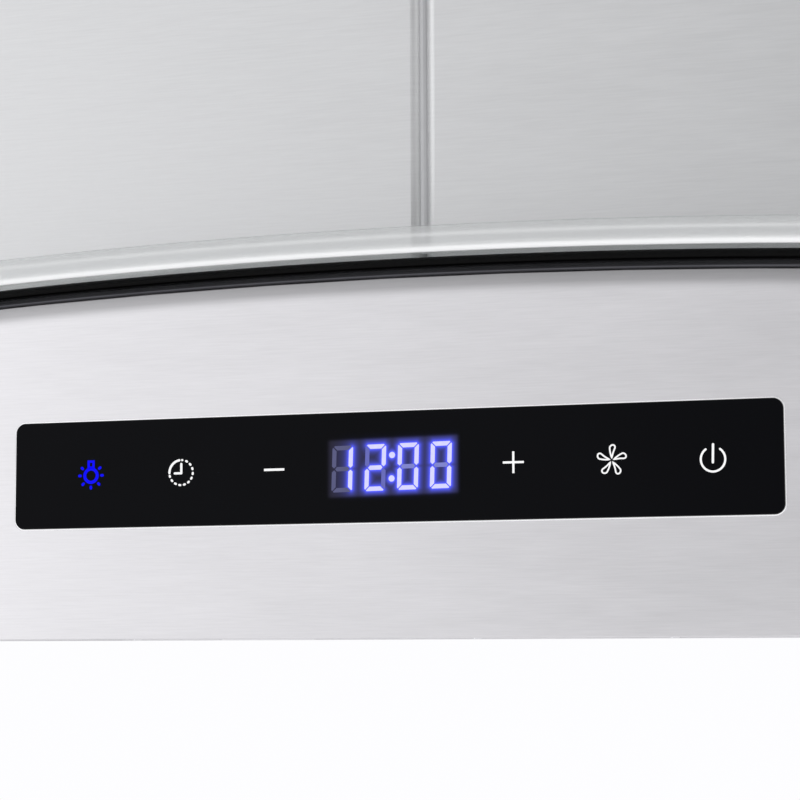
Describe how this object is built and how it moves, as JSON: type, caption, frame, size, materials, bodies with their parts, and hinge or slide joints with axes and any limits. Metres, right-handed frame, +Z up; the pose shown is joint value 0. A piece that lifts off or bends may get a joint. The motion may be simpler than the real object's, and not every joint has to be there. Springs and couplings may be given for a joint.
{
  "type": "range hood",
  "caption": "Ceiling-hung island range hood with a brushed steel body, touch control panel, arched clear glass canopy and telescoping chimney that draws cooking air up into a round duct.",
  "frame": {"origin": "centre of the ceiling plate's top face, which is the face that meets the ceiling", "axes": "+Z up into the ceiling, +X along the hood's width to the viewer's right, -Y towards the front with the control panel"},
  "size_m": [0.9, 0.501, 0.8],
  "materials": {
    "brushed_steel": "brushed along the width",
    "zinc_steel": "galvanised, dull",
    "bright_steel": "polished",
    "clear_glass": "clear, tempered, polished edge",
    "black_glass": "glossy black, lit icons behind it",
    "black_rubber": "matt",
    "dark_plastic": "matt",
    "circuit_board": "satin",
    "brass_pads": "satin",
    "cast_aluminium": "satin",
    "white_plastic": "satin",
    "lamp_glass": "frosted, lit"
  },
  "bodies": {
    "hood": {"ceiling_plate": "zinc_steel", "upper_posts": "zinc_steel", "upper_braces": "zinc_steel", "upper_cover_left": "brushed_steel", "upper_cover_right": "brushed_steel", "upper_seam_strips": "zinc_steel", "frame_screws": "bright_steel", "body_shell": "brushed_steel", "bottom_panel": "brushed_steel", "bottom_screws": "bright_steel", "glass_canopy": "clear_glass", "glass_gasket": "black_rubber", "glass_washers": "black_rubber", "glass_buttons": "bright_steel", "neck_frame": "zinc_steel", "chimney_seal": "black_rubber", "touch_glass": "black_glass", "display_module": "dark_plastic", "touch_board": "circuit_board", "touch_pads": "brass_pads", "control_housing": "dark_plastic", "lower_posts": "zinc_steel", "lower_braces": "zinc_steel", "blower_box": "zinc_steel", "blower_flange": "zinc_steel", "scroll_left": "dark_plastic", "scroll_right": "dark_plastic", "inlet_ring": "dark_plastic", "motor_bracket": "zinc_steel", "motor_can": "cast_aluminium", "motor_end_caps": "cast_aluminium", "capacitor": "white_plastic", "power_box": "dark_plastic", "power_box_lid": "dark_plastic", "power_board": "circuit_board", "cable_gland": "black_rubber", "collar_flange": "zinc_steel", "duct_collar": "zinc_steel", "damper_rod": "bright_steel", "lamp_bezels": "bright_steel", "lamp_lenses": "lamp_glass", "lamp_cans": "cast_aluminium"},
    "rotor": {"motor_shaft": "bright_steel", "impeller": "dark_plastic", "impeller_nut": "bright_steel"},
    "lower_chimney": {"lower_cover_left": "brushed_steel", "lower_cover_right": "brushed_steel", "lower_seam_strips": "zinc_steel", "lower_cover_screws": "bright_steel"},
    "filter_left": {"filter_frame_left": "brushed_steel", "filter_baffles_left": "brushed_steel"},
    "filter_right": {"filter_frame_right": "brushed_steel", "filter_baffles_right": "brushed_steel"},
    "latch_left_slide": {"latch_left": "dark_plastic", "latch_spring_left": "bright_steel"},
    "latch_right_slide": {"latch_right": "dark_plastic", "latch_spring_right": "bright_steel"},
    "damper_left": {"damper_flap_left": "cast_aluminium"},
    "damper_right": {"damper_flap_right": "cast_aluminium"}
  },
  "joints": [
    {"name": "impeller_spin", "type": "hinge", "parent": "hood", "child": "rotor", "pos_m": [0, -0.04, -0.53], "axis": [1, 0, 0], "continuous": true},
    {"name": "damper_left_hinge", "type": "hinge", "parent": "hood", "child": "damper_left", "pos_m": [0, 0, -0.324], "axis": [0, 1, 0], "range_deg": [0, 75]},
    {"name": "damper_right_hinge", "type": "hinge", "parent": "hood", "child": "damper_right", "pos_m": [0, 0, -0.324], "axis": [0, -1, 0], "range_deg": [0, 75]},
    {"name": "lower_chimney_lift", "type": "slide", "parent": "hood", "child": "lower_chimney", "axis": [0, 0, 1], "range_m": [0, 0.25]},
    {"name": "filter_left_hinge", "type": "hinge", "parent": "hood", "child": "filter_left", "pos_m": [-0.14, 0.18, -0.7948], "axis": [1, 0, 0], "range_deg": [0, 70]},
    {"name": "filter_right_hinge", "type": "hinge", "parent": "hood", "child": "filter_right", "pos_m": [0.14, 0.18, -0.7948], "axis": [1, 0, 0], "range_deg": [0, 70]},
    {"name": "latch_left_slide", "type": "slide", "parent": "filter_left", "child": "latch_left_slide", "axis": [0, 1, 0], "range_m": [0, 0.005], "stiffness_N_per_m": 120, "springref_m": -0.01, "deforming": ["latch_spring_left"]},
    {"name": "latch_right_slide", "type": "slide", "parent": "filter_right", "child": "latch_right_slide", "axis": [0, 1, 0], "range_m": [0, 0.005], "stiffness_N_per_m": 120, "springref_m": -0.01, "deforming": ["latch_spring_right"]}
  ]
}
